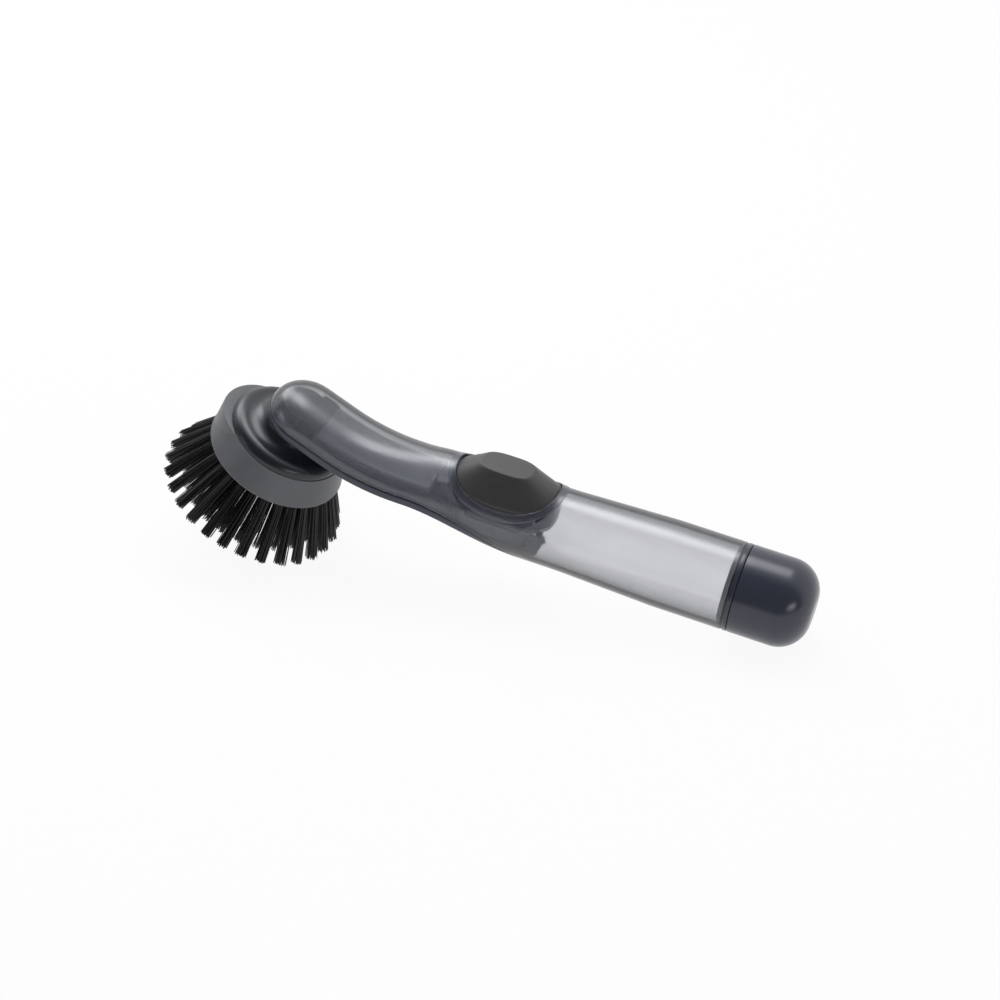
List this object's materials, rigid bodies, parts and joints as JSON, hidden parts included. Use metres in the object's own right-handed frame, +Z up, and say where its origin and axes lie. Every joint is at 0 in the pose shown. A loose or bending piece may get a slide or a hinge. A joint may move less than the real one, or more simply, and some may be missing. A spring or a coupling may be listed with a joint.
{
  "type": "soap-dispensing dish wand",
  "caption": "Washing-up brush with a clear soap-filled handle, a press pump under a rubber button, a screw cap and a twist-off round head.",
  "frame": {"origin": "centre of the bounding box in X and Y, on the table under the wand, which lies on its end cap and its lowest bristle tips", "axes": "+X towards the end cap, +Z up, and the wand is symmetric about Y = 0 apart from its threads"},
  "size_m": [0.253, 0.0736, 0.0686],
  "materials": {
    "smoke_clear": "translucent smoke grey, satin",
    "smoke_dark": "dark translucent smoke grey, satin",
    "charcoal": "dark blue-grey, satin",
    "ring_grey": "dark grey, satin",
    "hub_gloss": "dark blue-grey, glossy",
    "button_rubber": "brown-black, matt",
    "seal_rubber": "black, matt",
    "silicone": "milky white, matt",
    "bristle_nylon": "black, slight sheen",
    "staple_brass": "drawn wire"
  },
  "bodies": {
    "handle": {"handle_shell": "smoke_clear", "neck_base": "smoke_dark", "button_bezel": "smoke_dark", "button_diaphragm": "button_rubber", "pump_cup": "charcoal", "outlet_valve": "silicone", "soap_duct": "charcoal", "duct_gasket": "seal_rubber", "outlet_elbow": "charcoal", "elbow_seal": "seal_rubber", "head_hub": "hub_gloss", "end_collar": "charcoal", "collar_seal": "seal_rubber"},
    "button": {"squeeze_button": "button_rubber"},
    "inlet_flap": {"inlet_valve": "silicone"},
    "head_washer": {"head_seal": "seal_rubber"},
    "brush_head": {"head_ring": "ring_grey", "bristle_plate": "ring_grey", "bristles_outer": "bristle_nylon", "bristles_middle": "bristle_nylon", "bristles_inner": "bristle_nylon", "tuft_anchors": "staple_brass", "drip_valve": "silicone", "valve_retainer": "ring_grey"},
    "liner": {"cap_liner": "silicone"},
    "cap": {"end_cap": "charcoal"}
  },
  "joints": [
    {"name": "button_press", "type": "slide", "parent": "handle", "child": "button", "axis": [-0.1484, 0, -0.9889], "range_m": [0, 0.0032], "stiffness_N_per_m": 3000, "springref_m": -0.0005, "deforming": ["button_diaphragm"]},
    {"name": "inlet_valve_lift", "type": "slide", "parent": "handle", "child": "inlet_flap", "axis": [-0.9889, 0, 0.1484], "range_m": [0, 0.001]},
    {"name": "cap_lift", "type": "slide", "parent": "handle", "child": "liner", "axis": [0.9889, 0, -0.1484], "range_m": [0, 0.013]},
    {"name": "cap_turn", "type": "hinge", "parent": "liner", "child": "cap", "pos_m": [0.10568, 0, 0.01769], "axis": [0.9889, 0, -0.1484], "range_deg": [0, 1170]},
    {"name": "head_drop", "type": "slide", "parent": "handle", "child": "head_washer", "axis": [-0.4914, 0, -0.8709], "range_m": [0, 0.012]},
    {"name": "head_turn", "type": "hinge", "parent": "head_washer", "child": "brush_head", "pos_m": [-0.0835, 0, 0.03739], "axis": [-0.4914, 0, -0.8709], "range_deg": [0, 270]}
  ],
  "couplings": [
    {"joint": "cap_lift", "follows": "cap_turn", "m_per_rad": 0.00063661},
    {"joint": "head_drop", "follows": "head_turn", "m_per_rad": 0.0025465}
  ]
}
